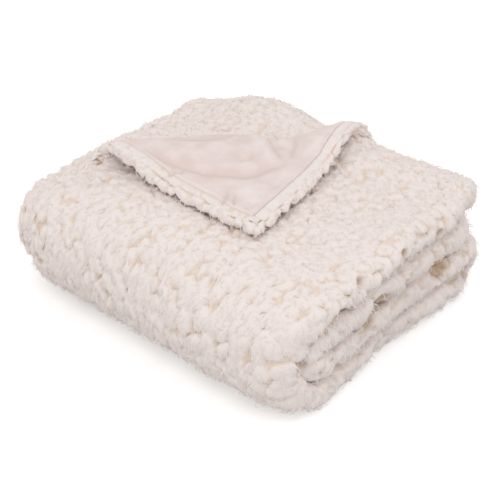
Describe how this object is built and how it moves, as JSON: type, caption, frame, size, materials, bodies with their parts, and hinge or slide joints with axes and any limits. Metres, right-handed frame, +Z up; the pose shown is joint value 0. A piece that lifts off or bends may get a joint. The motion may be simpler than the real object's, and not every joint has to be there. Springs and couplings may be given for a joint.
{
  "type": "folded fluffy throw blanket",
  "caption": "Fluffy throw blanket with a smooth backing, folded into a thick rectangular bundle with the free corner of its top ply turned back.",
  "frame": {"origin": "middle of the bundle's outline, on the flat underside that it lies on", "axes": "+Z up, +X along the bundle's long side, towards the end that shows the folded layers, +Y from its outer wrap to its far side"},
  "size_m": [0.4627, 0.3947, 0.1911],
  "materials": {
    "fluffy_pile": "high clumped pile, matt",
    "smooth_plush": "short brushed plush with a soft sheen"
  },
  "bodies": {
    "root": {"fluffy_face": "fluffy_pile", "smooth_backing": "smooth_plush"}
  },
  "joints": []
}
